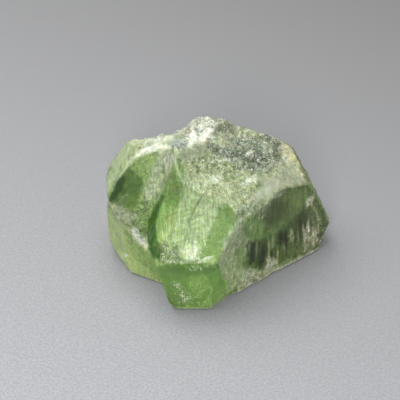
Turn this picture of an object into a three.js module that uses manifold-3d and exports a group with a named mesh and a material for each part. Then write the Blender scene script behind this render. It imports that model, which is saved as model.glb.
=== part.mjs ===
// A peridot specimen: a large olivine crystal with a smaller one, a foot and a knobbly crown
// grown onto it, all one solid.
// Millimetres, +Z up. It rests on its flat base, X runs across the front and Y runs to the back.
import * as THREE from "three";
import { ConvexGeometry } from "three/addons/geometries/ConvexGeometry.js";
import { mergeVertices } from "three/addons/utils/BufferGeometryUtils.js";
import Module from "manifold-3d";

const wasm = await Module();
wasm.setup();

const DEGREE = Math.PI / 180;
const DOWN = -90;
const OUTWARD = 1;
const INWARD = -1;
const TOLERANCE = 1e-6;
const MERGE_DISTANCE = 1e-4;

// What a face looks like close to. edge is the longest side of its small triangles, in mm.
const GLASSY = { edge: 6, relief: null };
const RESTING = { edge: 6, relief: null };
const FROSTED = { edge: 2, relief: frostedRelief };
const ETCHED = { edge: 1.15, relief: etchedRelief };
const LUMPY = { edge: 1.1, relief: lumpyRelief };
const CRUSTED = { edge: 0.95, relief: crustedRelief };
const GROOVED = { edge: 0.95, relief: groovedRelief };
const BROKEN = { edge: 2, relief: brokenRelief };
const HIDDEN = { edge: 6, relief: null };

// Heights of the relief and widths of its bumps, in mm.
const FROST_HEIGHT = 0.05;
const FROST_WIDTH = 2.2;
const ETCH_HEIGHT = 0.2;
const ETCH_WIDTH = 2.8;
const PIT_DEPTH = 0.35;
const PIT_WIDTH = 2;
const LUMP_HEIGHT = 0.45;
const LUMP_WIDTH = 2.6;
const CRUST_HEIGHT = 0.34;
const CRUST_WIDTH = 2.6;
const GROOVE_DEPTH = 0.22;
const GROOVE_WIDTH = 1.5;
const GROOVE_LENGTH = 12;
const BREAK_HEIGHT = 0.55;
const BREAK_WIDTH = 5;

// The crust is closed below CRUST_FOOT and over the last CRUST_FADE before the right end, in mm.
const CRUST_FOOT = 3.2;
const CRUST_SIDE = 10.5;
const CRUST_FADE = 4;
const CRUST_EXTRA = 0.9;

// Where a bump (from -1 to 1) starts to make a pit or crust, and over how much it is complete.
const PIT_FROM = 0.35;
const PIT_SPAN = 0.4;
const CRUST_FROM = 0.35;
const CRUST_SPAN = 0.3;

// How much the second, finer layer of bumps adds to the first.
const FINE_GRAIN = 0.5;
const FINE_BREAK = 0.35;
const FINE_CRUST = 0.35;
const FINE_LUMP = 0.3;

// Each face: azimuth of its outward normal (0 is the front, 90 the right), how far that normal
// leans up from level, the face's distance from the origin, and its surface.
const CURTAIN = [50, -4, 6.35, GROOVED];
const WINDOW_WALL = [38, 8, 7.55, CRUSTED];
const MAIN_CRYSTAL = [
  [0, -2, 11.1, GLASSY],
  [-2, 20, 13.85, GLASSY],
  [-6, 45, 14.8, FROSTED],
  [9, 40, 14.25, GLASSY],
  [49.5, 41, 13.7, ETCHED],
  [-46, 42, 15.65, FROSTED],
  [-82.5, 27.5, 13.55, FROSTED],
  [-82, -14, 7.55, GLASSY],
  [-50, -26, 10.4, GLASSY],
  [60, 68, 14.8, ETCHED],
  [-168, 60, 18.2, LUMPY],
  [103, 23, 16.4, CRUSTED],
  [105, -27, 12.9, BROKEN],
  [140, 19, 16.8, BROKEN],
  [170, 16, 13.9, BROKEN],
  [165, -12, 9.2, BROKEN],
  [-150, -6, 10.4, BROKEN],
  [0, DOWN, 0, RESTING],
];
const LEFT_CRYSTAL = [
  [-37.5, 47.7, 14.3, FROSTED],
  [-46.5, 46.5, 14.95, GLASSY],
  [-84, 50, 18.2, FROSTED],
  [-36, 32, 13, GLASSY],
  [-136, 66, 18.7, LUMPY],
  [-92, 35, 18.45, FROSTED],
  [-137, -15, 13.3, BROKEN],
  [175, 6, 9.25, BROKEN],
  [-27, -3, 8.2, FROSTED],
  [-75, -30, 7.55, BROKEN],
  [70, 25, 2.05, HIDDEN],
  [0, DOWN, 0, RESTING],
];
const LEFT_FOOT = [
  [-27, -3, 8.7, FROSTED],
  [-58, -6, 12.15, FROSTED],
  [-98, 0, 15.3, FROSTED],
  [-92, 35, 17.9, FROSTED],
  [-70, -25, 11.8, FROSTED],
  [39, 42, 3.4, FROSTED],
  [-30, 75, 11.95, FROSTED],
  [-165, 10, 10.6, BROKEN],
  [90, 0, -6, HIDDEN],
  [0, DOWN, 0, RESTING],
];
const CROWN = [
  [40, 80, 16.55, LUMPY],
  [-104, 42, 16.05, LUMPY],
  [53, 45, 9.55, LUMPY],
  [-28, 58, 13.3, LUMPY],
  [80, 50, 13.3, LUMPY],
  [178, 10, 12.1, BROKEN],
  [0, DOWN, -15, HIDDEN],
];

// The space outside the two walls that meet in a hollow angle on the right of the main crystal.
const OUTSIDE_REACH = 40;
const OUTSIDE_FOOT = 1;
const OUTSIDE = [
  turnedOver(CURTAIN),
  turnedOver(WINDOW_WALL),
  [0, 0, OUTSIDE_REACH, HIDDEN],
  [90, 0, OUTSIDE_REACH, HIDDEN],
  [0, 90, OUTSIDE_REACH, HIDDEN],
  [0, DOWN, OUTSIDE_FOOT, HIDDEN],
];

const CRYSTAL_COLOUR = 0x86a868;
const CRYSTAL_ROUGHNESS = 0.35;

// How many directions a slope can have, and what brings the bumps' height to about 1.
const DIRECTIONS = 1024;
const BUMP_GAIN = 1.6;

function smooth(t) {
  const s = Math.min(Math.max(t, 0), 1);
  return s * s * (3 - 2 * s);
}

// A whole number for each corner of a cubic grid, always the same one: large odd numbers mix its bits.
function scramble(i, j, k) {
  let h = Math.imul(i, 374761393) + Math.imul(j, 668265263) + Math.imul(k, 1440662683);
  h = Math.imul(h ^ (h >>> 13), 1274126177);
  h = Math.imul(h ^ (h >>> 15), 461845907);
  return (h ^ (h >>> 16)) >>> 0;
}

// The slope at a grid corner, times the way from that corner.
function cornerSlope(corner, away) {
  const [i, j, k] = corner;
  const turn = 2 * Math.PI * (scramble(i, j, k) % DIRECTIONS) / DIRECTIONS;
  const up = 2 * (scramble(j, k, i) % DIRECTIONS) / DIRECTIONS - 1;
  const level = Math.sqrt(1 - up * up);
  return level * (Math.cos(turn) * away[0] + Math.sin(turn) * away[1]) + up * away[2];
}

// Soft bumps of the given width, from about -1 to 1.
function bumps(x, y, z, width) {
  const cell = [x / width, y / width, z / width];
  const low = cell.map(Math.floor);
  const part = cell.map((c, i) => c - low[i]);
  let sum = 0;
  for (let n = 0; n < 8; n++) {
    const step = [n & 1, (n >> 1) & 1, n >> 2];
    const weight = step.reduce((w, s, i) => w * smooth(s ? part[i] : 1 - part[i]), 1);
    sum += weight * cornerSlope(low.map((l, i) => l + step[i]), part.map((t, i) => t - step[i]));
  }
  return BUMP_GAIN * sum;
}

function frostedRelief(p) {
  return FROST_HEIGHT * bumps(p.x, p.y, p.z, FROST_WIDTH);
}

// Etched ends of the crystal: grainy, with pits.
function etchedRelief(p) {
  const fine = FINE_GRAIN * bumps(p.y, p.z, p.x, ETCH_WIDTH / 2);
  const pit = smooth((bumps(p.z, p.x, p.y, PIT_WIDTH) - PIT_FROM) / PIT_SPAN);
  return ETCH_HEIGHT * (bumps(p.x, p.y, p.z, ETCH_WIDTH) + fine) - PIT_DEPTH * pit;
}

// Sharp-backed knobs with hollows between them, half of each above the plain face.
function lumpyRelief(p) {
  const knob = 0.6 - 2 * Math.abs(bumps(p.x, p.y, p.z, LUMP_WIDTH));
  return LUMP_HEIGHT * knob + FINE_LUMP * etchedRelief(p);
}

// A pale crust that stands proud of the clear face, closed along the foot and at the right end.
function crustedRelief(p) {
  const foot = CRUST_EXTRA * smooth(1 - p.z / CRUST_FOOT);
  const side = CRUST_EXTRA * smooth((p.x - CRUST_SIDE) / CRUST_FADE);
  const patch = bumps(p.x, p.y, p.z, CRUST_WIDTH) + foot + side;
  const cover = smooth((patch - CRUST_FROM) / CRUST_SPAN);
  const fine = FINE_CRUST * bumps(p.x, p.y, p.z, CRUST_WIDTH / 2.4);
  return CRUST_HEIGHT * cover * (1 - FINE_CRUST + fine);
}

// Ribs that run down the face.
function groovedRelief(p) {
  const stretch = GROOVE_WIDTH / GROOVE_LENGTH;
  return GROOVE_DEPTH * bumps(p.x, p.y, p.z * stretch, GROOVE_WIDTH);
}

// Where the crystal broke from the rock: slow waves with smaller chips on them.
function brokenRelief(p) {
  const chips = FINE_BREAK * bumps(p.z, p.x, p.y, BREAK_WIDTH / 2.6);
  return BREAK_HEIGHT * (bumps(p.x, p.y, p.z, BREAK_WIDTH) + chips);
}

function makeFace([azimuth, lean, reach, surface, side = OUTWARD]) {
  const level = Math.cos(lean * DEGREE);
  const normal = new THREE.Vector3(
    Math.sin(azimuth * DEGREE) * level,
    -Math.cos(azimuth * DEGREE) * level,
    Math.sin(lean * DEGREE),
  );
  return { normal, reach, surface, side };
}

// Where three faces meet, or null where they don't.
function meetingPoint(a, b, c) {
  const bc = new THREE.Vector3().crossVectors(b.normal, c.normal);
  const ca = new THREE.Vector3().crossVectors(c.normal, a.normal);
  const ab = new THREE.Vector3().crossVectors(a.normal, b.normal);
  const volume = a.normal.dot(bc);
  if (Math.abs(volume) < TOLERANCE) return null;
  return bc.multiplyScalar(a.reach).addScaledVector(ca, b.reach).addScaledVector(ab, c.reach)
    .divideScalar(volume);
}

// The corners of the convex crystal that its faces enclose.
function cornerPoints(faces) {
  const corners = [];
  for (let i = 0; i < faces.length; i++) {
    for (let j = i + 1; j < faces.length; j++) {
      for (let k = j + 1; k < faces.length; k++) {
        const p = meetingPoint(faces[i], faces[j], faces[k]);
        if (p && faces.every((f) => f.normal.dot(p) < f.reach + TOLERANCE)) corners.push(p);
      }
    }
  }
  return corners;
}

function closedGeometry(geometry) {
  geometry.deleteAttribute("normal");
  geometry.deleteAttribute("uv");
  return mergeVertices(geometry, MERGE_DISTANCE);
}

// The crystal as points and triangles, each triangle with the face that it lies on.
function crystalMesh(faces) {
  const geometry = closedGeometry(new ConvexGeometry(cornerPoints(faces)));
  const position = geometry.getAttribute("position");
  const points = [];
  for (let i = 0; i < position.count; i++) {
    points.push(new THREE.Vector3().fromBufferAttribute(position, i));
  }
  const triangles = [];
  for (let i = 0; i < geometry.index.count; i += 3) {
    const corners = [0, 1, 2].map((n) => geometry.index.getX(i + n));
    const away = (f) => Math.max(...corners.map((c) => Math.abs(f.normal.dot(points[c]) - f.reach)));
    const face = faces.reduce((best, f) => (away(f) < away(best) ? f : best));
    triangles.push({ corners, face });
  }
  return { points, triangles };
}

function edgeKey(a, b) {
  return a < b ? `${a}_${b}` : `${b}_${a}`;
}

// The edges that are too long for a face beside them, longest first.
function longEdges({ points, triangles }) {
  const edges = new Map();
  triangles.forEach((triangle, index) => {
    triangle.corners.forEach((a, n) => {
      const b = triangle.corners[(n + 1) % 3];
      const key = edgeKey(a, b);
      const edge = edges.get(key) ?? { a, b, sides: [], limit: Infinity };
      edge.sides.push(index);
      edge.limit = Math.min(edge.limit, triangle.face.surface.edge);
      edge.length = points[a].distanceTo(points[b]);
      edges.set(key, edge);
    });
  });
  return [...edges.values()].filter((e) => e.length > e.limit).sort((p, q) => q.length - p.length);
}

// Splits every edge that is too long at its middle, with the triangles on both sides.
function refine(mesh) {
  let edges = longEdges(mesh);
  while (edges.length > 0) {
    const done = new Set();
    for (const { a, b, sides } of edges) {
      if (sides.some((side) => done.has(side))) continue;
      const middle = mesh.points.length;
      mesh.points.push(mesh.points[a].clone().lerp(mesh.points[b], 0.5));
      for (const side of sides) {
        const { corners, face } = mesh.triangles[side];
        mesh.triangles.push({ corners: corners.map((c) => (c === a ? middle : c)), face });
        mesh.triangles[side] = { corners: corners.map((c) => (c === b ? middle : c)), face };
        done.add(side);
      }
    }
    edges = longEdges(mesh);
  }
}

// Moves the points of rough faces out or in. Glassy faces stay flat, and the base stays level.
function roughen({ points, triangles }) {
  const facesAt = points.map(() => new Set());
  for (const { corners, face } of triangles) {
    corners.forEach((c) => facesAt[c].add(face));
  }
  points.forEach((point, i) => {
    const around = [...facesAt[i]];
    const walls = around.filter((f) => f.surface !== RESTING);
    if (walls.some((f) => f.surface.relief === null)) return;
    const move = new THREE.Vector3();
    walls.forEach((f) => move.addScaledVector(f.normal, f.side * f.surface.relief(point)));
    if (walls.length < around.length) move.z = 0;
    point.add(move);
  });
}

function turnedOver([azimuth, lean, reach, surface]) {
  return [azimuth + 180, -lean, -reach, surface, INWARD];
}

function makeCrystal(rows) {
  const mesh = crystalMesh(rows.map(makeFace));
  refine(mesh);
  roughen(mesh);
  return new wasm.Manifold(new wasm.Mesh({
    numProp: 3,
    vertProperties: new Float32Array(mesh.points.flatMap((p) => p.toArray())),
    triVerts: new Uint32Array(mesh.triangles.flatMap((t) => t.corners)),
  }));
}

function toGeometry(solid) {
  const mesh = solid.getMesh();
  const geometry = new THREE.BufferGeometry();
  geometry.setAttribute("position", new THREE.BufferAttribute(mesh.vertProperties, mesh.numProp));
  geometry.setIndex(new THREE.BufferAttribute(mesh.triVerts, 1));
  return geometry;
}

// Puts the origin under the middle of the crystal's box.
function standOnOrigin(geometry) {
  geometry.computeBoundingBox();
  const { min, max } = geometry.boundingBox;
  geometry.translate(-(min.x + max.x) / 2, -(min.y + max.y) / 2, -min.z);
}

const main = makeCrystal(MAIN_CRYSTAL).subtract(makeCrystal(OUTSIDE));
const joined = [LEFT_CRYSTAL, LEFT_FOOT, CROWN].map(makeCrystal).reduce((all, c) => all.add(c), main);
const geometry = toGeometry(joined);
standOnOrigin(geometry);
geometry.computeVertexNormals();

const material = new THREE.MeshStandardMaterial({
  color: CRYSTAL_COLOUR,
  roughness: CRYSTAL_ROUGHNESS,
  metalness: 0,
});
const crystal = new THREE.Mesh(geometry, material);
crystal.name = "peridot_crystal";

const group = new THREE.Group();
group.add(crystal);

export default group;
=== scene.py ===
"""A peridot crystal in a plain studio: clear green crystals, frosted, crusted and broken faces."""

import itertools
import math

import bmesh
import bpy
import numpy as np
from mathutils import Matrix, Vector


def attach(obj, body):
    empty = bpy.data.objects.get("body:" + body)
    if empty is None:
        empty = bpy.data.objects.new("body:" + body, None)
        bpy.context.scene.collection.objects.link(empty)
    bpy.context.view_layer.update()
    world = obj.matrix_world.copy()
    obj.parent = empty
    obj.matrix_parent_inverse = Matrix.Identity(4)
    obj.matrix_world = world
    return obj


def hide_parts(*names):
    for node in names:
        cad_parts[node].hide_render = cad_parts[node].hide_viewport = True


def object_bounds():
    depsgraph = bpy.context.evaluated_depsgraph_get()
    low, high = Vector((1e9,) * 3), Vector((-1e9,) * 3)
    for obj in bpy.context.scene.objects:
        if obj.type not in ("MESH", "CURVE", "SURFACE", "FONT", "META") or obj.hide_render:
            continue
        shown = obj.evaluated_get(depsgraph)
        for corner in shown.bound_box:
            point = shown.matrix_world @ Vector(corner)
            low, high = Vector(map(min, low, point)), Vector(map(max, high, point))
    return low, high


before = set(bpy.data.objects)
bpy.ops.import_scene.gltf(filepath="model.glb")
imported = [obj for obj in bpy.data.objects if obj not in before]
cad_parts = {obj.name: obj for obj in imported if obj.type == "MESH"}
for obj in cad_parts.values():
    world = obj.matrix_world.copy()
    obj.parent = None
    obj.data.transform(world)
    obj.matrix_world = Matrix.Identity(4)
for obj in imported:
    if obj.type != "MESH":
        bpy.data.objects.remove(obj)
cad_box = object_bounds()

NODE = "peridot_crystal"
MM = 0.001
SEED = 7

# The point in the frame that the crystal faces are measured from, in mm.
CRYSTAL_ORIGIN = np.array([-0.161, -0.437, 0.0])

# The photograph's view: its size in pixels, and where the camera stands and looks, in metres.
IMAGE_SIZE = 400
FOCAL_PIXELS = 2118
SENSOR_MM = 36
NEAR_CLIP = 0.01
CAMERA_HEIGHT_DEG = 40
CAMERA_DISTANCE = 0.3
LOOK_AT = (-0.00257, 0.00376, 0.007)

# The studio's two soft square lights: where each is, how wide it is, both in metres, and its watts.
LIGHTS = {
    "key": ((-0.09, 0.07, 0.28), 0.3, 1.14),
    "front": ((-0.04, -0.3, 0.2), 0.1, 0.68),
}
LIGHTS_AIM = (0, 0, 0.006)
SKY_COLOUR = (0.95, 0.96, 0.98, 1)
SKY_STRENGTH = 0.43

# The floor, in metres. It lies a little under the crystal, so the two don't coincide. Painted
# shade darkens it towards the back and, less so, towards the right, where its grain also fades.
FLOOR_HALF = 1.5
FLOOR_GAP = 0.00005
FLOOR_ROUGHNESS = 0.8
FRONT_TONE = (0.348, 0.354, 0.37, 1)
SHADED_BACK_TONE = (0.182, 0.181, 0.179, 1)
PAINTED_SHADE_FROM = -0.06
PAINTED_SHADE_TO = 0.08
BACK_TO_RIGHT = 0.4
GRAIN_FRONT = -0.04
GRAIN_BACK = 0.04
FLOOR_GRAIN = 0.16

# Longest side of the fine mesh's triangles on shown, hidden and flat faces, in mm.
FINE_EDGE = 0.22
BACK_EDGE = 0.5
FLAT_EDGE = 0.6
WELD = 0.01

# A triangle at right angles to a face counts as this many mm away from it, when they are matched.
TURN_COST = 1.2

# How high the underside's worn rim is lifted, in mm, how wide that rim is, and how high up the
# sides are squeezed for it.
RIM_LIFT = 0.28
RIM_WIDTH = 0.8
RIM_REACH = 1.6

# Each finish: how milky it is (0 is clear), how rough, how grainy, how streaked, how speckled with
# dark grains and how flecked with white dots, which are partly white specks, partly painted glints.
CHANNELS = ("milky", "rough", "grain", "streak", "speckle", "fleck")
FINISHES = {
    "clear": (0.08, 0.08, 0.2, 0.4, 0, 0.1),
    "front": (0.12, 0.14, 0.7, 0.45, 0.2, 0.45),
    "hazed": (0.3, 0.3, 0.35, 1.0, 0, 0.05),
    "dull": (0.6, 0.45, 0.8, 1.2, 0, 0.1),
    # Chipped and glinting: chips whose many white dots are partly painted glints.
    "chipped_and_glinting": (0.15, 0.2, 0.8, 0.4, 0.3, 2.2),
    "veiled": (0.16, 0.25, 0.45, 0.6, 0, 0.15),
    "frosted": (0.25, 0.42, 0.75, 1.1, 0.03, 0.4),
    "etched": (0.38, 0.5, 1.0, 0.3, 0.3, 0.6),
    "speckled": (0.38, 0.45, 1.0, 0.2, 1.1, 0.8),
    "mottled": (0.35, 0.45, 1.0, 0.2, 0.9, 0.1),
    "knobby": (0.5, 0.45, 1.0, 0.1, 0.3, 0.7),
    "snowy": (0.7, 0.5, 0.9, 0.2, 0.1, 0.9),
    "smooth": (0.4, 0.4, 0.5, 0.3, 0.05, 0.1),
    "wall": (0.2, 0.25, 1.0, 1.0, 0.6, 0.35),
    "crusted": (0.8, 0.6, 1.0, 0.4, 0.7, 0.3),
    "grooved": (0.35, 0.45, 1.0, 1.3, 0.3, 0.3),
    "broken": (0.5, 0.4, 0.8, 0, 0.2, 0.3),
    "base": (0.95, 0.5, 0.3, 0, 0, 0),
}

# Light that goes through or comes back from the crystal, as linear red, green and blue.
LEAF = (0.6, 0.78, 0.3)
GRASS = (0.46, 0.7, 0.2)
LIME = (0.78, 0.9, 0.4)
SAGE = (0.46, 0.54, 0.28)
MOSS = (0.34, 0.48, 0.16)
MIRE = (0.22, 0.26, 0.09)
SLATE = (0.2, 0.22, 0.17)
DEEP = (0.08, 0.13, 0.02)
POOL = (0.03, 0.08, 0.01)
LODEN = (0.1, 0.14, 0.035)
PEAT = (0.045, 0.058, 0.008)
FIR = (0.05, 0.17, 0.01)
INK = (0.01, 0.016, 0.003)
PALE = (0.66, 0.72, 0.44)
ASH = (0.42, 0.46, 0.33)
DUN = (0.4, 0.39, 0.22)
BONE = (0.62, 0.62, 0.46)
MIST = (0.74, 0.82, 0.56)
STEEL = (0.5, 0.54, 0.58)
SNOW = (0.88, 0.9, 0.78)

# Each face of the crystals: azimuth of its outward normal (0 is the front, 90 the right), how far
# it leans up from level, its distance from CRYSTAL_ORIGIN in mm, its finish and its colour.
FACES = [
    (0, -2, 11.1, "front", GRASS),
    (-2, 20, 13.85, "frosted", PALE),
    (-6, 45, 14.8, "frosted", LEAF),
    (9, 40, 14.25, "veiled", LEAF),
    (49.5, 41, 13.7, "etched", PALE),
    (-46, 42, 15.65, "frosted", LEAF),
    (-82.5, 27.5, 13.55, "veiled", GRASS),
    (-82, -14, 7.55, "clear", MOSS),
    (-50, -26, 10.4, "clear", MOSS),
    (60, 68, 14.8, "etched", PALE),
    (-168, 60, 18.2, "knobby", ASH),
    (103, 23, 16.4, "etched", MOSS),
    (105, -27, 12.9, "broken", MOSS),
    (140, 19, 16.8, "broken", ASH),
    (170, 16, 13.9, "broken", ASH),
    (165, -12, 9.2, "broken", ASH),
    (-150, -6, 10.4, "broken", ASH),
    (50, -4, 6.35, "grooved", BONE),
    (38, 8, 7.55, "wall", MIRE),
    (-37.5, 47.7, 14.3, "frosted", PALE),
    (-46.5, 46.5, 14.95, "veiled", LEAF),
    (-84, 50, 18.2, "frosted", PALE),
    (-36, 32, 13, "veiled", LEAF),
    (-136, 66, 18.7, "knobby", SNOW),
    (-92, 35, 18.45, "frosted", LEAF),
    (-137, -15, 13.3, "broken", ASH),
    (175, 6, 9.25, "broken", ASH),
    (-27, -3, 8.2, "frosted", PALE),
    (-75, -30, 7.55, "broken", ASH),
    (-27, -3, 8.7, "veiled", LIME),
    (-58, -6, 12.15, "veiled", LIME),
    (-98, 0, 15.3, "veiled", LIME),
    (-92, 35, 17.9, "frosted", PALE),
    (-70, -25, 11.8, "veiled", LIME),
    (39, 42, 3.4, "frosted", PALE),
    (-30, 75, 11.95, "etched", SNOW),
    (-165, 10, 10.6, "broken", LIME),
    (40, 80, 16.55, "knobby", SNOW),
    (-104, 42, 16.05, "knobby", SNOW),
    (53, 45, 9.55, "knobby", BONE),
    (-28, 58, 13.3, "knobby", SNOW),
    (80, 50, 13.3, "knobby", ASH),
    (178, 10, 12.1, "broken", ASH),
    (0, -90, 0, "base", SNOW),
]
FLAT_FINISHES = ("front", "clear", "base")

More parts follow.
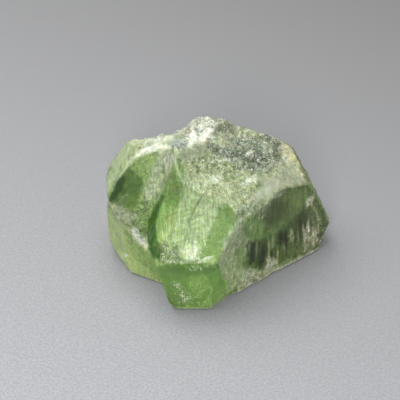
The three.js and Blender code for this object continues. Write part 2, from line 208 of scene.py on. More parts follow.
# Parts of the shown side that look different from the rest of their face: a finish, a colour, how
# soft the edge is in pixels, how strong the change is, and the outline in pixels of the
# photograph's view. Later ones lie on top.
AREAS = {
    "left crystal, clear side": ("veiled", LEAF, 4, 1, [
        (108, 202), (131, 162), (144, 155), (160, 151), (150, 175), (141, 200), (133, 215),
    ]),
    "left crystal, deep part": ("clear", MOSS, 8, 1, [
        (106, 204), (116, 181), (128, 166), (137, 173), (141, 184), (140, 199), (134, 207),
        (126, 210), (117, 209),
    ]),
    "left crystal, darkest corner": ("clear", POOL, 6, 0.9, [
        (106, 204), (116, 181), (124, 175), (124, 189), (118, 201),
    ]),
    "left crystal, dark line": ("clear", MOSS, 4, 0.8, [
        (136, 176), (140, 176), (142, 190), (138, 198),
    ]),
    "left crystal, grey facet": ("veiled", PALE, 4, 0.6, [
        (112, 203), (125, 197), (128, 204), (122, 211),
    ]),
    "left crystal, light line": ("smooth", SNOW, 1.6, 0.35, [
        (112, 201), (120, 196.6), (129, 193.6), (129, 194.8), (120, 197.8), (112, 202.2),
    ]),
    "left crystal, crusted edge": ("mottled", MIRE, 5, 1, [
        (106, 202), (118, 203), (130, 211), (138, 210), (140, 228), (130, 227), (114, 216),
    ]),
    "left crystal, pale edge": ("etched", BONE, 3, 0.6, [
        (107, 202), (111, 201), (113, 208), (120, 220), (128, 228), (124, 228), (113, 216),
    ]),
    "foot, left edge": ("smooth", LIME, 6, 0.8, [
        (103, 212), (111, 212), (118, 240), (132, 264), (122, 264), (108, 246),
    ]),
    "foot, light band": ("smooth", LIME, 6, 0.7, [
        (113, 222), (120, 222), (128, 240), (138, 258), (132, 260), (120, 246),
    ]),
    # Painted glint: a small white dot where the lamp glints on the foot.
    "foot, painted glint": ("snowy", SNOW, 3, 1, [(122, 255), (126, 255), (126, 257.5), (122, 257)]),
    "foot, frosted patch": ("snowy", SNOW, 5, 1, [
        (129, 228), (136, 227), (143, 233), (148, 246), (146, 250), (138, 243),
    ]),
    "foot, dull side": ("veiled", SAGE, 8, 0.8, [
        (139, 248), (150, 254), (158, 270), (156, 278), (146, 266),
    ]),
    "foot, bright end": ("smooth", LIME, 8, 0.8, [
        (120, 262), (134, 262), (150, 272), (157, 282), (146, 280), (128, 272),
    ]),
    "pale strip": ("frosted", PALE, 4, 1, [
        (159, 153), (170, 149), (177, 151), (176, 162), (166, 184), (157, 203), (141, 201),
        (148, 178),
    ]),
    "pale strip, top": ("etched", SNOW, 7, 0.7, [
        (166, 152), (177, 150), (176, 160), (170, 170), (165, 164),
    ]),
    "pale strip, low part": ("mottled", MOSS, 6, 1, [
        (140, 199), (157, 200), (150, 216), (149, 238), (142, 236), (134, 224), (134, 210),
    ]),
    "left rim": ("smooth", MIST, 3, 1, [
        (117, 180), (128, 161), (137, 152), (150, 140), (165, 135), (182, 133), (186, 146),
        (176, 150), (160, 150), (146, 155), (134, 160), (124, 172),
    ]),
    # Whitish frost on the left rim's band, made brighter by a painted highlight of the lamp.
    "left rim, frosted edge with painted highlight": ("snowy", SNOW, 4, 0.8, [
        (134, 157), (138, 150), (150, 146), (166, 144), (172, 148), (158, 149), (146, 153),
    ]),
    # Whitish frost on the top of the band, made brighter by a painted highlight of the lamp.
    "left rim, frosted top with painted highlight": ("snowy", SNOW, 6, 0.7, [
        (146, 142), (155, 137), (172, 135), (174, 140), (160, 143),
    ]),
    "left rim, green patch": ("smooth", LIME, 8, 0.6, [
        (118, 152), (130, 141), (143, 137), (149, 142), (138, 150), (128, 159), (119, 166),
    ]),
    "left end": ("veiled", LEAF, 4, 1, [
        (103, 178), (117, 152), (122, 158), (118, 172), (112, 190), (108, 200),
    ]),
    "left end, deep part": ("veiled", GRASS, 7, 0.8, [
        (105, 176), (112, 162), (117, 162), (114, 173), (109, 181),
    ]),
    "left end, light top": ("smooth", MIST, 7, 0.8, [
        (110, 166), (118, 152), (130, 142), (134, 148), (126, 158), (116, 172),
    ]),
    "left rim, far end": ("smooth", MIST, 5, 0.8, [
        (104, 182), (110, 172), (118, 168), (116, 176), (110, 188), (107, 192),
    ]),
    "steel patch": ("speckled", STEEL, 6, 0.8, [
        (171, 142), (179, 137), (187, 140), (187, 147), (178, 149), (172, 147),
    ]),
    "crown, tan side": ("knobby", DUN, 6, 0.8, [
        (179, 136), (184, 126), (192, 121), (193, 131), (185, 138),
    ]),
    "crown, right side": ("speckled", BONE, 7, 1, [
        (206, 122), (212, 114), (222, 118), (232, 130), (236, 140), (224, 140), (213, 132),
    ]),
    # Whitish crust, made lighter with painted light where the lamp falls on the crown's left side.
    "crown, pale crust with painted light": ("speckled", SNOW, 6, 0.9, [
        (190, 124), (197, 118), (208, 114), (213, 122), (206, 132), (192, 134),
    ]),
    # Painted highlight: a white spot where the lamp glints on the crown.
    "crown, painted highlight": ("snowy", SNOW, 4, 0.9, [
        (194, 126), (199, 123), (203, 126), (200, 131), (195, 130),
    ]),
    # Whitish frost at the crown's foot, made brighter by a painted highlight of the lamp.
    "crown, frosted foot with painted highlight": ("snowy", SNOW, 7, 0.9, [
        (186, 138), (196, 134), (210, 132), (214, 138), (202, 142), (188, 146),
    ]),
    "top, smooth band": ("smooth", ASH, 6, 0.8, [
        (178, 153), (200, 145), (224, 139), (238, 141), (229, 147), (212, 151), (197, 156),
        (182, 162),
    ]),
    "top, dark grains": ("speckled", ASH, 10, 1, [
        (206, 146), (226, 143), (242, 136), (264, 133), (283, 144), (281, 158), (270, 172),
        (252, 171), (236, 164), (222, 159), (210, 153),
    ]),
    "top, slate grains": ("speckled", SLATE, 8, 0.85, [
        (210, 147), (222, 145), (236, 153), (262, 152), (268, 160), (262, 170), (248, 164),
        (228, 160),
    ]),
    "top, right grains": ("speckled", SLATE, 7, 0.7, [
        (266, 134), (276, 138), (284, 147), (278, 150), (270, 144),
    ]),
    "top, olive grains": ("speckled", SAGE, 12, 0.8, [
        (186, 162), (205, 156), (224, 162), (240, 170), (230, 178), (214, 178), (196, 174),
    ]),
    "top, white flecks": ("snowy", SNOW, 8, 0.6, [
        (199, 183), (205, 178), (218, 176), (218, 182), (208, 186),
    ]),
    "top, right flecks": ("snowy", SNOW, 8, 0.5, [(240, 184), (248, 179), (255, 180), (250, 186)]),
    # Painted glints: this and the next are small white dots where the lamp glints on the top's grains.
    "top, thin painted glint": ("snowy", SNOW, 3, 0.8, [(218, 160), (226, 158.5), (231, 160), (225, 162)]),
    "top, middle painted glint": ("snowy", SNOW, 4, 0.8, [(244, 154), (252, 150), (255, 152), (248, 155)]),
    "shoulder": ("smooth", BONE, 7, 0.95, [
        (262, 178), (282, 178), (303, 182), (290, 187), (276, 191), (268, 198), (256, 206),
        (244, 212), (248, 198), (256, 188),
    ]),
    "shoulder, light part": ("smooth", SNOW, 9, 0.6, [
        (254, 198), (262, 186), (274, 182), (270, 192), (260, 199),
    ]),
    "shoulder, grey part": ("speckled", ASH, 8, 0.8, [
        (234, 212), (246, 204), (262, 200), (254, 210), (244, 218), (235, 226),
    ]),
    "shoulder, smooth facet": ("smooth", BONE, 7, 0.7, [
        (276, 160), (290, 158), (303, 176), (304, 183), (280, 178),
    ]),
    "shoulder, olive dent": ("speckled", MOSS, 6, 0.7, [
        (250, 186), (257, 183), (263, 187), (258, 191), (252, 190),
    ]),
    "right shoulder": ("crusted", DUN, 6, 0.9, [
        (280, 148), (290, 143), (300, 156), (308, 172), (312, 184), (304, 180), (296, 166),
        (286, 158),
    ]),
    "flank, green part": ("veiled", GRASS, 8, 1, [
        (176, 163), (184, 170), (184, 188), (179, 204), (170, 216), (162, 228), (155, 236),
        (156, 214), (162, 198), (168, 182),
    ]),
    "flank, olive part": ("veiled", MOSS, 7, 0.7, [
        (171, 176), (180, 176), (181, 196), (174, 203), (168, 192),
    ]),
    "flank, deep edge": ("clear", FIR, 3, 1, [
        (162, 196), (158, 209), (156, 225), (158, 240), (164, 251), (160, 262), (150, 254),
        (147, 236), (148, 222), (153, 208),
    ]),
    "flank, top edge": ("frosted", MOSS, 3, 1, [(174, 163), (179, 164), (187, 186), (183, 189)]),
    "flank, end of the top edge": ("frosted", MOSS, 3, 1, [
        (172, 152), (177, 151), (185, 174), (183, 180),
    ]),
    "flank, darkest edge": ("clear", POOL, 6, 0.8, [
        (162, 196), (157, 206), (151, 221), (150, 236), (153, 240), (154, 226), (158, 212),
        (164, 200),
    ]),
    "front slope, left side": ("smooth", LIME, 10, 0.25, [
        (164, 205), (174, 206), (172, 222), (168, 236), (166, 250), (158, 246), (158, 226),
    ]),
    "front slope, pale half": ("frosted", PALE, 10, 0.5, [
        (203, 196), (216, 204), (214, 224), (206, 238), (198, 236), (194, 220),
    ]),
    "front slope, green middle": ("frosted", SAGE, 9, 0.5, [
        (184, 222), (196, 224), (200, 236), (196, 246), (186, 244), (182, 232),
    ]),
    "front slope, hairline": ("veiled", DEEP, 1.2, 0.8, [
        (203.8, 196), (198.8, 203), (194.4, 211.5), (189.2, 223.5), (187.8, 223), (192.8, 211),
        (197.2, 202.4), (203, 195.4),
    ]),
    "front slope, light edge": ("smooth", SNOW, 2, 0.9, [
        (214.5, 224), (216, 224.5), (209.5, 240), (202, 257), (200.5, 256), (208, 239),
    ]),
    # Painted highlight: a white patch where the lamp glints on the front slope.
    "front slope, painted highlight": ("snowy", SNOW, 12, 0.7, [
        (183, 256), (187, 248), (196, 246), (198, 252), (196, 260), (188, 260),
    ]),
    # Painted highlight: a smaller pale patch where the lamp glints on the slope's left side.
    "front slope, left painted highlight": ("snowy", PALE, 11, 0.3, [
        (163, 236), (168, 231), (173, 232), (176, 239), (169, 241),
    ]),
    "front slope, knobs": ("speckled", MIRE, 9, 0.8, [
        (156, 243), (164, 243), (178, 248), (183, 262), (172, 266), (158, 262),
    ]),
    "right slope": ("veiled", LEAF, 5, 1, [
        (219, 208), (229, 206), (235, 215), (235, 225), (228, 240), (221, 250), (219, 260),
        (199, 260), (207, 237), (214, 222),
    ]),
    "right slope, olive part": ("veiled", MOSS, 9, 0.5, [
        (226, 206), (233, 212), (233, 224), (227, 222),
    ]),
    "rim, crescent": ("smooth", LEAF, 2.5, 0.9, [
        (198, 262.5), (206, 258), (212, 257), (219, 261), (217, 265), (206, 266),
    ]),
    # Painted highlight: a white line where the lamp glints on the rounded rim.
    "rim, painted highlight on crescent edge": ("snowy", SNOW, 2, 0.9, [
        (196, 262), (206, 257.5), (213, 256.5), (206, 259.5), (198, 264),
    ]),
    "rim, flakes": ("chipped_and_glinting", GRASS, 6, 1, [
        (184, 264), (192, 267), (203, 267), (207, 268), (200, 272), (190, 270),
    ]),
    "front, deep top": ("clear", MOSS, 7, 1, [
        (162, 262), (178, 264), (190, 270), (206, 270), (219, 266), (221, 272), (200, 275),
        (176, 276), (164, 272),
    ]),
    "front, deep left": ("clear", MOSS, 9, 0.9, [
        (158, 264), (170, 268), (172, 284), (176, 300), (170, 300), (162, 280),
    ]),
    # Painted glow: lighter green where light coming through the crystal brightens the front.
    "front, painted glow": ("veiled", LEAF, 12, 1, [
        (188, 282), (196, 275), (209, 277), (211, 288), (200, 297), (190, 296),
    ]),
    "front, dark band": ("clear", MOSS, 5, 0.9, [(211, 272), (218, 276), (217, 294), (211, 296)]),
    "front, right strip": ("clear", GRASS, 3, 1, [
        (215, 262), (221, 268), (222, 279), (227, 281), (227, 296), (212, 309), (213, 285),
    ]),
    "front, right strip's band": ("clear", MOSS, 5, 0.8, [
        (219, 268), (222, 279), (225, 284), (223, 292), (219, 284),
    ]),
    "front, deep foot": ("clear", MOSS, 8, 0.8, [(168, 300), (180, 300), (184, 306), (172, 309)]),
    "front, dark middle": ("clear", MOSS, 10, 0.8, [
        (176, 272), (186, 276), (186, 292), (180, 304), (172, 300), (176, 286),
    ]),
    # Scratches whose white dots are painted glints where the lamp catches them.
    "front, scratches with painted glints": ("chipped_and_glinting", LEAF, 8, 1, [
        (175, 284), (180, 282), (182, 290), (188, 291), (186, 295), (192, 299), (188, 303),
        (180, 300), (176, 293),
    ]),
    "curtain, pale edge": ("etched", BONE, 5, 0.8, [
        (236, 222), (243, 214), (248, 216), (240, 228), (232, 244), (230, 262), (226, 280),
        (220, 272), (221, 254), (227, 238),
    ]),
    "curtain, light line": ("smooth", SNOW, 2, 0.6, [
        (222, 246), (230, 236), (238, 226), (239, 227), (231, 238), (223.5, 250),
    ]),
    "curtain, top": ("grooved", MOSS, 6, 1, [
        (244, 220), (258, 214), (264, 220), (264, 234), (252, 240), (244, 236),
    ]),
    "curtain, olive streak": ("grooved", MOSS, 7, 0.7, [
        (236, 250), (241, 246), (243, 262), (240, 272), (236, 264),
    ]),
    "curtain, foot": ("grooved", BONE, 9, 0.8, [
        (228, 266), (240, 266), (250, 276), (240, 288), (230, 292),
    ]),
    "wall, upper pane": ("hazed", MIRE, 4, 1, [
        (262, 220), (268, 208), (276, 199), (290, 192), (306, 187), (308, 196), (304, 204),
        (294, 212), (284, 220), (272, 226),
    ]),
    "wall, pane's dark middle": ("hazed", PEAT, 9, 0.6, [
        (262, 221), (266, 210), (274, 200), (288, 200), (296, 205), (290, 214), (280, 222),
        (268, 226),
    ]),
    "wall, upper pane's green end": ("hazed", MOSS, 6, 0.6, [
        (290, 196), (304, 190), (306, 200), (296, 210), (287, 212),
    ]),
    "wall, dark part": ("hazed", LODEN, 8, 1, [
        (249, 242), (262, 236), (275, 227), (292, 213), (306, 205), (309, 222), (305, 236),
        (296, 246), (292, 258), (278, 262), (262, 270), (249, 268),
    ]),
    "wall, hazy band": ("hazed", MOSS, 7, 0.6, [
        (252, 238), (262, 229), (276, 226), (290, 215), (304, 204), (305, 208), (292, 220),
        (278, 231), (262, 238), (254, 242),
    ]),
    "wall, left pane": ("dull", PEAT, 5, 1, [
        (249.5, 243), (257, 239), (266, 240), (268, 248), (266, 260), (260, 270), (255, 264),
        (248.5, 266), (247.5, 255),
    ]),
    "wall, left pane's light rib": ("wall", SAGE, 2, 0.5, [
        (255.5, 241), (257.5, 241), (257, 254), (255, 262),
    ]),
    "wall, left pane's darkest part": ("dull", INK, 4, 1, [
        (250, 246), (256, 242), (256, 262), (250, 264),
    ]),
    "wall, left pane's dark foot": ("dull", INK, 4, 1, [
        (258, 254), (264, 250), (265, 260), (260, 268), (257, 262),
    ]),
    "wall, middle pane": ("dull", PEAT, 6, 1, [
        (276, 236), (283, 229), (289, 230), (288, 242), (282, 246), (275, 246),
    ]),
    "wall, right pane": ("dull", PEAT, 6, 0.9, [
        (294, 228), (296, 214), (305, 210), (307, 218), (304, 230), (298, 238),
    ]),
    "wall, low pane": ("dull", LODEN, 7, 1, [
        (276, 249), (283, 245), (289, 247), (293, 252), (290, 258), (281, 259), (276, 256),
    ]),
    "wall, olive streaks": ("wall", MIRE, 8, 0.8, [
        (294, 238), (302, 236), (306, 246), (302, 254), (294, 256),
    ]),
    "wall, middle rib": ("crusted", SAGE, 2, 0.6, [
        (272.5, 232), (274.5, 231), (274, 246), (271, 252), (270.5, 244),
    ]),
    "wall, right rib": ("crusted", SAGE, 2, 0.6, [
        (289.5, 228), (291.5, 227), (292.5, 240), (290, 243),
    ]),
    "wall, foot crust": ("crusted", BONE, 4, 0.7, [
        (247, 268), (254, 270), (262, 271), (268, 264), (276, 267), (290, 262), (306, 255),
        (322, 248), (326, 252), (300, 263), (270, 275), (238, 292), (242, 282),
    ]),
    "wall, crust patch": ("crusted", BONE, 5, 0.9, [
        (266, 258), (274, 256), (276, 264), (268, 267),
    ]),
    "wall, right crust": ("crusted", DUN, 8, 0.8, [
        (306, 232), (313, 226), (319, 232), (318, 242), (312, 250), (304, 252), (303, 242),
    ]),
    "wall, top crust": ("crusted", BONE, 4, 1, [
        (306, 204), (311, 195), (314, 196), (312, 204), (307, 208),
    ]),
    "wall, crust streak": ("crusted", SAGE, 2, 0.6, [
        (311, 204), (313, 203), (319, 217), (323, 226), (320, 225), (315, 215),
    ]),
    "wall, light streak": ("crusted", BONE, 2, 0.9, [
        (307.5, 221), (310, 216), (310.5, 228), (308, 234),
    ]),
    "wall, low streaks": ("crusted", BONE, 2, 0.8, [
        (303.5, 238), (305.5, 234), (306, 248), (304, 254),
    ]),
    "wall, far streaks": ("crusted", BONE, 2, 0.7, [
        (313, 231), (316, 228), (317.5, 238), (314, 245),
    ]),
    "front, foot of the right strip": ("etched", MOSS, 3, 1, [
        (219, 290), (228, 288), (228, 300), (219, 303),
    ]),
    "front, foot edge": ("smooth", LEAF, 1.5, 0.7, [
        (173, 307.8), (211, 308.4), (211, 310), (174, 310),
    ]),
}

# Thin streaks down the wall, pointed at both ends: where each starts and ends in pixels of the
# photograph's view, how wide it is in its middle, its finish, its colour and its strength. Their
# edges are as soft as STREAK_SOFTNESS, in pixels.
WALL_STREAKS = [
    ((263, 241), (262, 268), 4, "dull", INK, 1),
    ((271, 246), (272, 262), 3, "dull", INK, 0.9),
    ((275, 249), (276, 259), 2, "dull", PEAT, 0.8),
    ((281, 230), (280, 247), 4, "dull", INK, 1),
    ((286, 228), (286, 256), 3.5, "dull", INK, 0.9),
    ((295, 229), (296, 251), 3, "dull", PEAT, 0.9),
    ((300, 224), (300.5, 250), 3, "dull", PEAT, 0.9),
    ((309, 212), (311.5, 236), 3, "dull", PEAT, 0.8),
    ((314, 210), (318, 228), 2.5, "dull", PEAT, 0.7),
    ((320, 229), (321, 243), 2.5, "dull", PEAT, 0.7),
    ((310, 238), (311, 253), 2.5, "dull", PEAT, 0.6),
    ((273, 198), (272, 216), 5, "dull", PEAT, 0.5),
    ((281, 196), (280, 213), 4, "dull", PEAT, 0.5),
    ((268.5, 236), (269, 258), 1.8, "crusted", SAGE, 0.6),
    ((278, 244), (277.5, 262), 1.6, "crusted", BONE, 0.5),
    ((284, 243), (285, 252), 1.5, "crusted", SAGE, 0.6),
    ((292.5, 229), (293, 246), 1.6, "crusted", BONE, 0.5),
    ((297.5, 224), (298.5, 248), 1.6, "crusted", SAGE, 0.5),
    ((303, 224), (304.5, 250), 1.8, "crusted", BONE, 0.6),
    ((307.5, 222), (308.5, 247), 1.6, "crusted", BONE, 0.7),
    ((312.5, 233), (313.5, 251), 1.6, "crusted", BONE, 0.6),
    ((317, 216), (319, 240), 1.8, "crusted", BONE, 0.6),
]
STREAK_SOFTNESS = 1.5

# How often the mesh is smoothed at the edges of its faces, in shape and in finish, and how far a
# flat face keeps its surroundings from moving.
ROUNDING = 16
BLENDING = 4
FLAT_REACH = 2

# Edges that turn more than this are kept sharp in the shading.
SHARP_ANGLE_DEG = 40

# How much of a point has to belong to the wall before the wall is drawn level there.
WALL_SHARE = 0.9
WALL_FADE = 0.1

# Areas and streaks fade out on faces that hardly face the camera: the cosine of the angle at which
# they are complete.
FACING_FULL = 0.15

# Absorption of the clear crystal. The first is the colour that lasts, the second is per metre.
ABSORPTION_COLOUR = (0.5, 0.8, 0.08, 1)
ABSORPTION_DENSITY = 60
CRYSTAL_IOR = 1.67
SPECULAR_LEVEL = 0.35

# Noises that break up the surface: how many of their cells fit in a metre, how detailed they are,
# and the two values between which they go over their whole range.
FINE_NOISE = (6500, 4, 0.3, 0.7)
LINE_NOISE = (4200, 4, 0.3, 0.7)
PATCH_NOISE = (1700, 4, 0.35, 0.65)
BROAD_NOISE = (320, 3, 0.35, 0.65)
HUE_NOISE = (800, 3, 0.35, 0.65)
SPOT_NOISE = (7000, 2, 0.48, 0.56)
SPOT_GROUPS = (1500, 3, 0.4, 0.55)
# The white dots are partly white specks and partly painted glints in place of sparkle.
SPECK_AND_GLINT_NOISE = (7500, 2, 0.54, 0.62)
SPECK_AND_GLINT_GROUPS = (1300, 2, 0.42, 0.56)
FLOOR_NOISE = (3200, 3, 0.3, 0.7)
LINE_STRETCH = (1, 0.1, 0.1)

# How much each noise changes the brightness, at a grain or streak of 1, and the darkest it gets.
FINE_SHADE = 0.5
LINE_SHADE = 0.4
PATCH_SHADE = 0.16
BROAD_SHADE = 0.1
DARKEST_SHADE = 0.1

# Colours that noises bring in, and how much they add to milkiness and roughness.
COOL_HUE = (0.95, 1, 1.03, 1)
WARM_HUE = (1.06, 1, 0.92, 1)
SPOT_COLOUR = (0.03, 0.04, 0.025, 1)
SPECK_AND_GLINT_MILK = 0.6
PATCH_MILK = 0.1
FINE_ROUGHNESS = 0.05

# The finest relief, at a grain of 1: how strong, how high in metres, and its noise.
BUMP_STRENGTH = 0.6
BUMP_HEIGHT = 0.00006
BUMP_CELLS = 3400
BUMP_DETAIL = 3

# What brings the noise's height to about 1, and how far its layers lie apart.
BUMP_GAIN = 1.6
BUMP_LAYER = 31.7
GRAIN_LAYER = 17.3

# How far the middle of a grain strays from the middle of its cell.
GRAIN_STRAY = 0.45

# Where a bump (from -1 to 1) starts to make a pit or a dot, and over how much it is complete.
PIT_FROM = 0.35
PIT_SPAN = 0.4
DOT_FROM = 0.2
DOT_SPAN = 0.3

# How high the ridges between knobs stand above the middle, and how drawn out grooves are.
KNOB_RIDGE = 0.4
KNOB_DEPTH = 2
GROOVE_STRETCH = (1, 1, 0.12)

# Outlines of areas are ragged, and more so across than along the steep faces.
RAGGED_STRETCH = (1, 0.5, 0.5)


def smooth(t):
    s = np.clip(t, 0, 1)
    return s * s * (3 - 2 * s)


GRADIENTS = np.random.default_rng(SEED).normal(size=(256, 3))
GRADIENTS /= np.linalg.norm(GRADIENTS, axis=1, keepdims=True)


def scramble(grid):
    """A large whole number for each corner of a cubic grid, always the same one."""
    mixed = grid[:, 0] * 374761393 + grid[:, 1] * 668265263 + grid[:, 2] * 1440662683
    mixed = (mixed ^ (mixed >> 13)) * 1274126177
    return mixed ^ (mixed >> 16)


def bumps(points, width, layer):
    """Smooth noise from about -1 to 1 at points in mm, with bumps of the given width."""
    cell = points / width + BUMP_LAYER * layer
    low = np.floor(cell).astype(np.int64)
    part = cell - low
    total = np.zeros(len(points))
    for corner in itertools.product((0, 1), repeat=3):
        away = part - corner
        slope = GRADIENTS[scramble(low + corner) & 255]
        total += np.prod(smooth(1 - np.abs(away)), axis=1) * (slope * away).sum(1)
    return BUMP_GAIN * total


def grains(points, width, layer):
    """Flat-topped grains of the given width, each tilted its own way, from about -1 to 1."""
    cell = points / width + GRAIN_LAYER * layer
    low = np.floor(cell).astype(np.int64)
    nearest = np.full(len(points), np.inf)
    height = np.zeros(len(points))
    for step in itertools.product((-1, 0, 1), repeat=3):
        grid = low + step
        mixed = scramble(grid)
        away = cell - grid - 0.5 - GRAIN_STRAY * GRADIENTS[mixed & 255]
        distance = (away**2).sum(1)
        closer = distance < nearest
        tilted = (GRADIENTS[(mixed >> 8) & 255] * away).sum(1) + GRADIENTS[(mixed >> 4) & 255, 0]
        height = np.where(closer, tilted, height)
        nearest = np.minimum(nearest, distance)
    return height


def pits(points, width, layer):
    """1 in pits and 0 between them."""
    return smooth((bumps(points, width, layer) - PIT_FROM) / PIT_SPAN)


def dots(points, width, layer):
    """1 in small, close hollows and 0 between them."""
    return smooth((bumps(points, width, layer) - DOT_FROM) / DOT_SPAN)


def knobs(points, width, layer):
    return KNOB_RIDGE - np.abs(bumps(points, width, layer)) * KNOB_DEPTH


def grooves(points, width, layer):
    return bumps(points * np.array(GROOVE_STRETCH), width, layer)


def raised(points, width, layer):
    return np.ones(len(points))


# The relief of each finish, in layers: its kind, its height and width in mm, and the layer of the
# noise that it is made from. A layer that only raises the surface has no width.
ETCHED_RELIEF = [
    (bumps, 0.05, 1.1, 0), (grains, 0.05, 0.7, 1), (bumps, 0.03, 0.35, 2), (pits, -0.14, 0.9, 3),
]
RELIEF = {
    "frosted": [(bumps, 0.015, 0.8, 7), (grains, 0.02, 0.4, 8)],
    "veiled": [(bumps, 0.01, 1.2, 9), (grains, 0.008, 0.5, 9)],
    "snowy": [(bumps, 0.04, 0.8, 18), (grains, 0.03, 0.5, 19)],
    "etched": ETCHED_RELIEF,
    "speckled": [*ETCHED_RELIEF, (dots, -0.12, 0.5, 17)],
    "mottled": ETCHED_RELIEF,
    "knobby": [(knobs, 0.14, 1.2, 4), (grains, 0.08, 0.6, 5), (bumps, 0.04, 0.3, 6)],
    "crusted": [(raised, 0.1, None, 0), (bumps, 0.09, 0.6, 16), (grains, 0.06, 0.5, 20)],
    "grooved": [(grooves, 0.08, 0.5, 10), (bumps, 0.04, 0.4, 11)],
    "broken": [(bumps, 0.12, 1.6, 12), (bumps, 0.06, 0.6, 13)],
}
RAGGED_OUTLINE = [(bumps, 0.4, 0.9, 21), (bumps, 0.5, 0.4, 22)]


def layered(points, layers):
    """The height of layers of relief, one on the other, at points in mm."""
    return sum(height * kind(points, width, layer) for kind, height, width, layer in layers)


def face_normal(azimuth, lean):
    a, e = math.radians(azimuth), math.radians(lean)
    return np.array([math.sin(a) * math.cos(e), -math.cos(a) * math.cos(e), math.sin(e)])


NORMALS = np.array([face_normal(face[0], face[1]) for face in FACES])
REACHES = np.array([face[2] for face in FACES])
FACE_FINISHES = [face[3] for face in FACES]
FACE_TINTS = np.array([face[4] for face in FACES])
EDGES = {"broken": BACK_EDGE, "base": FLAT_EDGE}
KINDS = list(FINISHES)


def nearest_faces(points, triangles):
    """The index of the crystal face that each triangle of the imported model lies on."""
    corners = points[triangles]
    cross = np.cross(corners[:, 1] - corners[:, 0], corners[:, 2] - corners[:, 0])
    cross /= np.maximum(np.linalg.norm(cross, axis=1, keepdims=True), 1e-12)
    off_plane = np.abs(corners @ NORMALS.T - REACHES).max(1)
    return np.argmin(off_plane + TURN_COST * (1 - cross @ NORMALS.T), axis=1)


def edges_of(triangles):
    """The edges as pairs of points, and the index of each triangle's three edges."""
    sides = np.sort(triangles[:, [[0, 1], [1, 2], [2, 0]]], axis=2).reshape(-1, 2)
    keys, which = np.unique(sides[:, 0] * (1 << 32) + sides[:, 1], return_inverse=True)
    return np.column_stack([keys >> 32, keys & 0xFFFFFFFF]), which.reshape(-1, 3)


def split_once(points, triangles, faces, limits):
    """Splits each too long edge that is the longest of both its triangles, or returns None."""
    edges, which = edges_of(triangles)
    length = np.linalg.norm(points[edges[:, 0]] - points[edges[:, 1]], axis=1)
    limit = np.full(len(edges), np.inf)
    np.minimum.at(limit, which.ravel(), np.repeat(limits[faces], 3))
    rank = np.zeros(len(edges), np.int64)
    rank[np.argsort(length, kind="stable")] = np.arange(1, len(edges) + 1)
    rank[length <= limit] = 0
    side = rank[which].argmax(1)
    longest = which[np.arange(len(which)), side]
    longest = np.where(rank[longest] > 0, longest, -1)
    votes = np.bincount(longest[longest >= 0], minlength=len(edges))
    chosen = np.flatnonzero(votes == 2)
    if not len(chosen):
        return None
    middle = np.full(len(edges), -1)
    middle[chosen] = len(points) + np.arange(len(chosen))
    points = np.vstack([points, points[edges[chosen]].mean(1)])
    cut = np.flatnonzero((longest >= 0) & (middle[longest] >= 0))
    a, b, c = (triangles[cut, (side[cut] + n) % 3] for n in range(3))
    m = middle[longest[cut]]
    triangles = triangles.copy()
    triangles[cut] = np.column_stack([a, m, c])
    triangles = np.vstack([triangles, np.column_stack([m, b, c])])
    return points, triangles, np.concatenate([faces, faces[cut]])


class Surface:
    """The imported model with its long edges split, as arrays, in mm from the crystal's origin."""

    def __init__(self):
        bm = bmesh.new()
        bm.from_mesh(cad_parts[NODE].data)
        bmesh.ops.remove_doubles(bm, verts=bm.verts, dist=WELD * MM)
        bm.verts.index_update()
        points = np.array([v.co for v in bm.verts]) / MM - CRYSTAL_ORIGIN
        triangles = np.array([[v.index for v in f.verts] for f in bm.faces])
        bm.free()
        faces = nearest_faces(points, triangles)
        limits = np.array([EDGES.get(finish, FINE_EDGE) for finish in FACE_FINISHES])
        finer = points, triangles, faces
        while finer:
            self.points, self.triangles, self.faces = finer
            finer = split_once(self.points, self.triangles, self.faces, limits)
        self.edges, _ = edges_of(self.triangles)

    def spread(self, values, rounds):
        """Blurs values given for each point over the neighbouring points."""
        count = np.bincount(self.edges.ravel(), minlength=len(self.points))
        count = count.reshape(-1, *[1] * (values.ndim - 1))
        a, b = self.edges.T
        for _ in range(rounds):
            total = np.zeros_like(values)
            np.add.at(total, a, values[b])
            np.add.at(total, b, values[a])
            values = 0.5 * values + 0.5 * total / count
        return values

    def from_triangles(self, values):
        """The mean for each point of values given for each triangle."""
        total = np.zeros((len(self.points), *values.shape[1:]))
        count = np.bincount(self.triangles.ravel(), minlength=len(self.points))
        for n in range(3):
            np.add.at(total, self.triangles[:, n], values)
        return total / count.reshape(-1, *[1] * (values.ndim - 1))

    def touched_by(self, chosen):
        """Which points belong to at least one of the chosen triangles."""
        touched = np.zeros(len(self.points), bool)
        touched[self.triangles[chosen].ravel()] = True
        return touched

    def normals(self):
        a, b, c = (self.points[self.triangles[:, n]] for n in range(3))
        cross = np.cross(b - a, c - a)
        total = np.zeros_like(self.points)
        for n in range(3):
            np.add.at(total, self.triangles[:, n], cross)
        return total / np.maximum(np.linalg.norm(total, axis=1, keepdims=True), 1e-12)


def camera_axes():
    """The camera's place in metres, and the way up and back from it."""
    lift = math.radians(CAMERA_HEIGHT_DEG)
    up = np.array([0, math.sin(lift), math.cos(lift)])
    back = np.array([0, -math.cos(lift), math.sin(lift)])
    return np.array(LOOK_AT) + CAMERA_DISTANCE * back, up, back


def in_view(points):
    """Where points in mm from the crystal's origin appear in the photograph's view, in pixels."""
    place, up, back = camera_axes()
    away = (points + CRYSTAL_ORIGIN) * MM - place
    depth = -(away @ back)
    across, rise = away[:, 0] / depth, (away @ up) / depth
    return IMAGE_SIZE / 2 + FOCAL_PIXELS * np.column_stack([across, -rise])


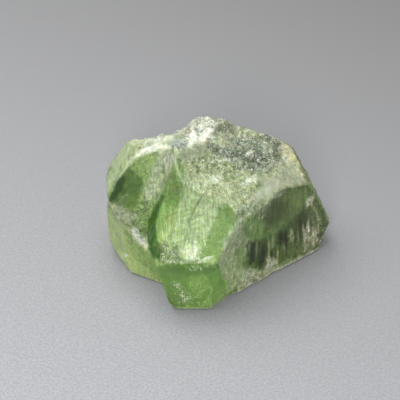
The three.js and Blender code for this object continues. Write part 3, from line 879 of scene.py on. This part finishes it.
def depth_inside(pixels, outline):
    """How far pixels lie inside an outline. It is below 0 outside."""
    corners = np.array(outline, float)
    inside = np.zeros(len(pixels), bool)
    nearest = np.full(len(pixels), np.inf)
    for a, b in zip(corners, np.roll(corners, -1, axis=0)):
        side = b - a
        share = np.clip((pixels - a) @ side / (side @ side), 0, 1)
        nearest = np.minimum(nearest, np.linalg.norm(pixels - a - share[:, None] * side, axis=1))
        spans = (a[1] > pixels[:, 1]) != (b[1] > pixels[:, 1])
        rise = side[1] if side[1] else 1
        inside ^= spans & (pixels[:, 0] < a[0] + (pixels[:, 1] - a[1]) * side[0] / rise)
    return np.where(inside, nearest, -nearest)


def streak_outline(start, end, width):
    """The outline of a streak that is pointed at both ends."""
    along = np.subtract(end, start)
    side = np.array([-along[1], along[0]]) / np.linalg.norm(along) * width / 2
    middle = np.add(start, end) / 2
    return [start, middle + side, end, middle - side]


def paint(surface, shares, tints):
    """Lays the areas and streaks over each point's shares of the finishes and its tint."""
    areas = list(AREAS.values())
    for start, end, width, finish, tint, strength in WALL_STREAKS:
        areas.append((finish, tint, STREAK_SOFTNESS, strength, streak_outline(start, end, width)))
    pixels = in_view(surface.points)
    _, _, back = camera_axes()
    facing = smooth(surface.normals() @ back / FACING_FULL)
    ragged = layered(surface.points * np.array(RAGGED_STRETCH), RAGGED_OUTLINE)
    for finish, tint, soft, strength, outline in areas:
        inside = strength * facing * smooth(depth_inside(pixels, outline) / soft + ragged + 0.5)
        own = np.zeros(len(KINDS))
        own[KINDS.index(finish)] = 1
        shares += inside[:, None] * (own - shares)
        tints += inside[:, None] * (np.array(tint) - tints)


def round_edges(surface, shares, free):
    """Smooths the surface where it is free to move, and draws the wall level again."""
    for _ in range(ROUNDING):
        near = surface.spread(surface.points, 1)
        surface.points += free[:, None] * (near - surface.points)
    wall = FACE_FINISHES.index("wall")
    above = surface.points @ NORMALS[wall] - REACHES[wall]
    inside = smooth((shares[:, KINDS.index("wall")] - WALL_SHARE) / WALL_FADE)
    surface.points -= (inside * above)[:, None] * NORMALS[wall]


def lift_rim(surface):
    """Lifts the edge of the underside a little, so that only its middle touches the floor."""
    base = np.array([finish == "base" for finish in FACE_FINISHES])[surface.faces]
    under = surface.touched_by(base)
    beside = surface.touched_by(~base)
    rim = surface.points[under & beside, :2]
    lift = RIM_LIFT * np.clip(1 - surface.points[:, 2] / RIM_REACH, 0, 1)
    for point in np.flatnonzero(under & ~beside):
        away = np.linalg.norm(surface.points[point, :2] - rim, axis=1).min()
        lift[point] = RIM_LIFT * smooth(1 - away / RIM_WIDTH)
    surface.points[:, 2] += lift


def carve(surface):
    """Moves the points of rough faces, and returns each point's shares of the finishes and tint."""
    face_shares = np.eye(len(KINDS))[[KINDS.index(finish) for finish in FACE_FINISHES]]
    shares = surface.from_triangles(face_shares[surface.faces])
    tints = surface.from_triangles(FACE_TINTS[surface.faces])
    flat = shares[:, [KINDS.index(finish) for finish in FLAT_FINISHES]].sum(1) > 0
    free = surface.spread(np.where(flat, 0.0, 1.0), FLAT_REACH) * ~flat
    round_edges(surface, shares, free)
    shares = surface.spread(shares, BLENDING)
    tints = surface.spread(tints, BLENDING)
    paint(surface, shares, tints)
    height = np.zeros(len(shares))
    for finish, layers in RELIEF.items():
        share = shares[:, KINDS.index(finish)]
        some = share > 0
        height[some] += share[some] * layered(surface.points[some], layers)
    surface.points += (free * height)[:, None] * surface.normals()
    lift_rim(surface)
    return shares, tints


def make_piece():
    surface = Surface()
    shares, tints = carve(surface)
    values = shares @ np.array(list(FINISHES.values()))
    low, high = (np.array(corner) for corner in cad_box)
    places = np.clip((surface.points + CRYSTAL_ORIGIN) * MM, low, high)
    mesh = bpy.data.meshes.new("crystal_surface")
    mesh.from_pydata(places.tolist(), [], surface.triangles.tolist())
    for name, value in zip(CHANNELS, values.T):
        attribute = mesh.attributes.new(name, "FLOAT", "POINT")
        attribute.data.foreach_set("value", value.astype(np.float32))
    attribute = mesh.attributes.new("tint", "FLOAT_COLOR", "POINT")
    colour = np.column_stack([tints, np.ones(len(tints))])
    attribute.data.foreach_set("color", colour.astype(np.float32).ravel())
    mesh.shade_smooth()
    mesh.set_sharp_from_angle(angle=math.radians(SHARP_ANGLE_DEG))
    piece = bpy.data.objects.new("crystal_surface", mesh)
    bpy.context.scene.collection.objects.link(piece)
    return piece


class Nodes:
    """Short ways to add and link the nodes of one material."""

    def __init__(self, name):
        self.material = bpy.data.materials.new(name)
        self.material.use_nodes = True
        self.tree = self.material.node_tree
        self.tree.nodes.clear()

    def add(self, kind, **settings):
        node = self.tree.nodes.new(kind)
        for name, value in settings.items():
            setattr(node, name, value)
        return node

    def put(self, socket, value):
        if isinstance(value, bpy.types.NodeSocket):
            self.tree.links.new(value, socket)
        else:
            socket.default_value = value

    def attribute(self, name, output="Fac"):
        return self.add("ShaderNodeAttribute", attribute_name=name).outputs[output]

    def place(self, scale=(1, 1, 1)):
        coordinates = self.add("ShaderNodeTexCoord").outputs["Object"]
        mapping = self.add("ShaderNodeMapping")
        self.put(mapping.inputs["Vector"], coordinates)
        self.put(mapping.inputs["Scale"], scale)
        return mapping.outputs["Vector"]

    def noise(self, cells, detail, stretch=(1, 1, 1)):
        node = self.add("ShaderNodeTexNoise")
        self.put(node.inputs["Vector"], self.place(stretch))
        self.put(node.inputs["Scale"], cells)
        self.put(node.inputs["Detail"], detail)
        return node.outputs["Fac"]

    def spread_noise(self, settings, to_low=0.0, to_high=1.0, stretch=(1, 1, 1)):
        """A noise with the given cells, detail and ends, brought to the given range."""
        cells, detail, low, high = settings
        return self.span(self.noise(cells, detail, stretch), low, high, to_low, to_high)

    def math(self, operation, a, b=0.0, clamp=False):
        node = self.add("ShaderNodeMath", operation=operation, use_clamp=clamp)
        self.put(node.inputs[0], a)
        self.put(node.inputs[1], b)
        return node.outputs[0]

    def times(self, *factors):
        product = factors[0]
        for factor in factors[1:]:
            product = self.math("MULTIPLY", product, factor)
        return product

    def plus(self, a, b, clamp=False):
        return self.math("ADD", a, b, clamp)

    def span(self, value, low, high, to_low=0.0, to_high=1.0):
        node = self.add("ShaderNodeMapRange")
        self.put(node.inputs["Value"], value)
        self.put(node.inputs["From Min"], low)
        self.put(node.inputs["From Max"], high)
        self.put(node.inputs["To Min"], to_low)
        self.put(node.inputs["To Max"], to_high)
        return node.outputs["Result"]

    def mix(self, share, a, b, blend="MIX"):
        node = self.add("ShaderNodeMix", data_type="RGBA", blend_type=blend)
        self.put(node.inputs["Factor"], share)
        self.put(node.inputs[6], a)
        self.put(node.inputs[7], b)
        return node.outputs[2]


def crystal_material():
    n = Nodes("olivine")
    milky, rough, grain, streak, speckle, fleck = (n.attribute(name) for name in CHANNELS)
    fine = n.spread_noise(FINE_NOISE, -1, 1)
    lines = n.spread_noise(LINE_NOISE, -1, 1, LINE_STRETCH)
    patch = n.spread_noise(PATCH_NOISE, -1, 1)
    broad = n.spread_noise(BROAD_NOISE, -1, 1)
    spots = n.times(n.spread_noise(SPOT_NOISE), n.spread_noise(SPOT_GROUPS), speckle)
    # White dots: partly white specks, partly painted glints in place of sparkle.
    flecks = n.times(n.spread_noise(SPECK_AND_GLINT_NOISE), n.spread_noise(SPECK_AND_GLINT_GROUPS), fleck)
    shade = n.plus(n.times(fine, FINE_SHADE, grain), n.times(lines, LINE_SHADE, streak))
    shade = n.plus(shade, n.times(patch, PATCH_SHADE, grain))
    shade = n.plus(shade, n.times(broad, BROAD_SHADE))
    shade = n.math("MAXIMUM", n.plus(shade, 1.0), DARKEST_SHADE)
    hue = n.mix(n.spread_noise(HUE_NOISE), COOL_HUE, WARM_HUE)
    tint = n.mix(1.0, n.attribute("tint", "Color"), shade, "MULTIPLY")
    tint = n.mix(1.0, tint, hue, "MULTIPLY")
    tint = n.mix(spots, tint, SPOT_COLOUR)
    tint = n.mix(flecks, tint, (*SNOW, 1))
    milky = n.plus(milky, n.times(flecks, SPECK_AND_GLINT_MILK))
    milky = n.plus(milky, n.times(patch, PATCH_MILK, grain), clamp=True)
    bump = n.add("ShaderNodeBump")
    n.put(bump.inputs["Strength"], n.times(grain, BUMP_STRENGTH))
    n.put(bump.inputs["Distance"], BUMP_HEIGHT)
    n.put(bump.inputs["Height"], n.noise(BUMP_CELLS, BUMP_DETAIL))
    shader = n.add("ShaderNodeBsdfPrincipled")
    n.put(shader.inputs["Base Color"], tint)
    n.put(shader.inputs["Roughness"], n.plus(rough, n.times(fine, FINE_ROUGHNESS), clamp=True))
    n.put(shader.inputs["Transmission Weight"], n.math("SUBTRACT", 1.0, milky, clamp=True))
    n.put(shader.inputs["IOR"], CRYSTAL_IOR)
    n.put(shader.inputs["Specular IOR Level"], SPECULAR_LEVEL)
    n.put(shader.inputs["Normal"], bump.outputs["Normal"])
    volume = n.add("ShaderNodeVolumeAbsorption")
    n.put(volume.inputs["Color"], ABSORPTION_COLOUR)
    n.put(volume.inputs["Density"], ABSORPTION_DENSITY)
    output = n.add("ShaderNodeOutputMaterial")
    n.put(output.inputs["Surface"], shader.outputs[0])
    n.put(output.inputs["Volume"], volume.outputs[0])
    return n.material


def floor_material():
    n = Nodes("floor")
    place = n.add("ShaderNodeSeparateXYZ")
    n.put(place.inputs[0], n.place())
    # Painted shade: the floor's colour darkens towards the back and, less so, towards the right.
    back = n.plus(place.outputs["Y"], n.times(place.outputs["X"], BACK_TO_RIGHT))
    tone_with_painted_shade = n.mix(n.span(back, PAINTED_SHADE_FROM, PAINTED_SHADE_TO), FRONT_TONE, SHADED_BACK_TONE)
    grain = n.spread_noise(FLOOR_NOISE, 1 - FLOOR_GRAIN, 1 + FLOOR_GRAIN)
    grain = n.mix(n.span(back, GRAIN_FRONT, GRAIN_BACK), grain, (1, 1, 1, 1))
    shader = n.add("ShaderNodeBsdfPrincipled")
    n.put(shader.inputs["Base Color"], n.mix(1.0, tone_with_painted_shade, grain, "MULTIPLY"))
    n.put(shader.inputs["Roughness"], FLOOR_ROUGHNESS)
    output = n.add("ShaderNodeOutputMaterial")
    n.put(output.inputs["Surface"], shader.outputs[0])
    return n.material


def make_floor():
    mesh = bpy.data.meshes.new("floor")
    square = [(-1, -1), (1, -1), (1, 1), (-1, 1)]
    corners = [(x * FLOOR_HALF, y * FLOOR_HALF, -FLOOR_GAP) for x, y in square]
    mesh.from_pydata(corners, [], [(0, 1, 2, 3)])
    floor = bpy.data.objects.new("floor", mesh)
    mesh.materials.append(floor_material())
    bpy.context.scene.collection.objects.link(floor)


def make_lights():
    for name, (place, size, watts) in LIGHTS.items():
        data = bpy.data.lights.new(name, "AREA")
        data.size = size
        data.energy = watts
        light = bpy.data.objects.new(name, data)
        light.location = place
        light.rotation_euler = (Vector(LIGHTS_AIM) - Vector(place)).to_track_quat("-Z", "Y").to_euler()
        bpy.context.scene.collection.objects.link(light)
    world = bpy.data.worlds.new("studio")
    world.use_nodes = True
    background = world.node_tree.nodes["Background"]
    background.inputs["Color"].default_value = SKY_COLOUR
    background.inputs["Strength"].default_value = SKY_STRENGTH
    bpy.context.scene.world = world


def make_camera():
    data = bpy.data.cameras.new("camera")
    data.sensor_width = SENSOR_MM
    data.lens = FOCAL_PIXELS * SENSOR_MM / IMAGE_SIZE
    data.clip_start = NEAR_CLIP
    camera = bpy.data.objects.new("camera", data)
    place, _, back = camera_axes()
    camera.location = place
    camera.rotation_euler = Vector(-back).to_track_quat("-Z", "Y").to_euler()
    bpy.context.scene.collection.objects.link(camera)
    bpy.context.scene.camera = camera


piece = make_piece()
piece.data.materials.append(crystal_material())
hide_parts(NODE)
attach(piece, "root")
make_floor()
make_lights()
make_camera()
bpy.context.scene.view_settings.view_transform = "Standard"
cycles = bpy.context.scene.cycles
cycles.max_bounces = 32
cycles.diffuse_bounces = 12
cycles.glossy_bounces = 16
cycles.transmission_bounces = 32
